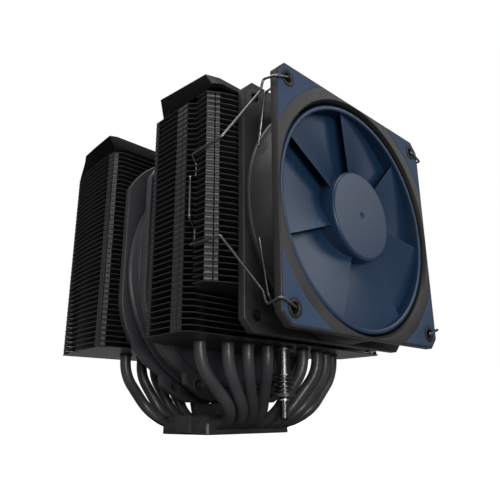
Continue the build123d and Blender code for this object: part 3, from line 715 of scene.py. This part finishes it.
def spring_path(y, per_turn=32):
    """Coils that close up at both ends, as a ground compression spring has."""
    low, high = SPRING_Z[0] + SPRING_WIRE_R, SPRING_Z[1] - SPRING_WIRE_R
    count = int(SPRING_TURNS * per_turn)
    path = []
    for k in range(count + 1):
        t = k / count
        turn = 2 * pi * SPRING_TURNS * t
        rise = t - 0.35 * sin(2 * pi * t) / (2 * pi)
        path.append((SPRING_R * cos(turn), y + SPRING_R * sin(turn), low + (high - low) * rise))
    return path


for place, y in SCREWS.items():
    coil = tube(spring_path(y), SPRING_WIRE_R, 10)
    spring = piece(f"{place}_coil_spring", [coil], "spring_steel", "cooler", [f"screw_spring_{place}"],
                   smooth=60)
    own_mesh(spring)
    thread = tube(helix(THREAD_R, *THREAD_Z, THREAD_PITCH, y), THREAD_WIRE_R, 6)
    piece(f"{place}_screw_thread", [thread], "screw_steel", f"{place}_screw", smooth=60)


# ---- Floor, light and camera ---------------------------------------------------------

FLOOR_Z = -0.0002                      # metres, just under the contact face
FLOOR_BOUNCE = (0.19, 0.19, 0.19, 1)
WHITE = (1, 1, 1, 1)
CAMERA_PLACE = (-209.6, -236.9, 8.6)
CAMERA_AZIMUTH, CAMERA_ELEVATION, CAMERA_ROLL = -43.98, -17.26, -0.40
CAMERA_LENS = 38.66


def seen_and_lit(tree, seen, lit):
    """One shader for what the camera sees directly, another for all other light."""
    rays, mix = tree.nodes.new("ShaderNodeLightPath"), tree.nodes.new("ShaderNodeMixShader")
    wire(tree, rays.outputs["Is Camera Ray"], mix.inputs["Fac"])
    wire(tree, lit, mix.inputs[1])
    wire(tree, seen, mix.inputs[2])
    return mix.outputs["Shader"]


def build_stage():
    """A plain white floor that throws little light up at the object."""
    solid = bmesh.new()
    bmesh.ops.create_grid(solid, x_segments=8, y_segments=8, size=30.0)
    mesh = bpy.data.meshes.new("floor")
    solid.to_mesh(mesh)
    solid.free()
    floor = add_object("floor", mesh)
    floor.location.z = FLOOR_Z
    material = make_material("floor_pale", (0.86, 0.86, 0.86), 0.9, spread=0.01, grain=40, bump=0.02,
                             specular=0.0, rough_spread=0.02)
    tree = material.node_tree
    pale = tree.nodes["Principled BSDF"]
    pale.inputs["Emission Color"].default_value = WHITE
    pale.inputs["Emission Strength"].default_value = 1.0
    dim = tree.nodes.new("ShaderNodeBsdfDiffuse")
    dim.inputs["Color"].default_value = FLOOR_BOUNCE
    surface = seen_and_lit(tree, pale.outputs["BSDF"], dim.outputs["BSDF"])
    wire(tree, surface, tree.nodes["Material Output"].inputs["Surface"])
    floor.data.materials.append(material)


def area_light(name, place, target, size, power):
    """A rectangular light that faces its target, with every size in metres."""
    data = bpy.data.lights.new(name, "AREA")
    data.shape = "RECTANGLE"
    data.size, data.size_y = size
    data.energy = power
    lamp = add_object(name, data)
    lamp.location = place
    lamp.rotation_euler = (Vector(target) - Vector(place)).to_track_quat("-Z", "Y").to_euler()


def build_light():
    """A broad light from above, softboxes around the object and a white background."""
    sun = bpy.data.lights.new("top_sun", "SUN")
    sun.energy = 3.4
    sun.angle = radians(60)
    add_object("top_sun", sun).rotation_euler = (radians(-8), radians(-6), 0)
    middle = (0.0, -0.03, 0.09)
    area_light("left_softbox", (-0.80, -0.10, 0.10), middle, (0.30, 0.5), 0.7)
    area_light("front_softbox", (0.55, -0.70, 0.50), middle, (0.40, 0.40), 1.4)
    area_light("camera_strip", (-0.60, -0.58, 0.36), middle, (0.10, 0.5), 0.7)
    area_light("low_fill", (-0.30, -0.62, 0.05), (0.0, 0.0, 0.03), (0.30, 0.08), 1.9)
    area_light("rear_strip", (0.45, 0.55, 0.35), middle, (0.15, 0.6), 1.5)
    world = bpy.data.worlds.new("studio")
    bpy.context.scene.world = world
    world.use_nodes = True
    tree = world.node_tree
    tree.nodes.clear()
    seen, lit = (tree.nodes.new("ShaderNodeBackground") for _ in range(2))
    seen.inputs["Color"].default_value = WHITE
    seen.inputs["Strength"].default_value = 1.0
    lit.inputs["Color"].default_value = (0.92, 0.95, 1.0, 1)
    lit.inputs["Strength"].default_value = 0.09
    surface = seen_and_lit(tree, seen.outputs["Background"], lit.outputs["Background"])
    wire(tree, surface, tree.nodes.new("ShaderNodeOutputWorld").inputs["Surface"])
    bpy.context.scene.view_settings.view_transform = "Standard"


def build_camera():
    """The main camera, placed in millimetres as the shapes are."""
    azimuth, elevation, roll = radians(CAMERA_AZIMUTH), radians(CAMERA_ELEVATION), radians(CAMERA_ROLL)
    back = Vector((sin(azimuth) * cos(elevation), -cos(azimuth) * cos(elevation), sin(elevation)))
    data = bpy.data.cameras.new("camera")
    data.lens, data.sensor_width = CAMERA_LENS, 36.0
    data.clip_start = 0.01
    data.dof.use_dof = False
    camera = add_object("camera", data)
    turn = (-back).to_track_quat("-Z", "Y").to_matrix() @ Matrix.Rotation(roll, 3, "Z")
    camera.matrix_world = Matrix.Translation(Vector(CAMERA_PLACE) * MM) @ turn.to_4x4()
    bpy.context.scene.camera = camera


build_stage()
build_light()
build_camera()
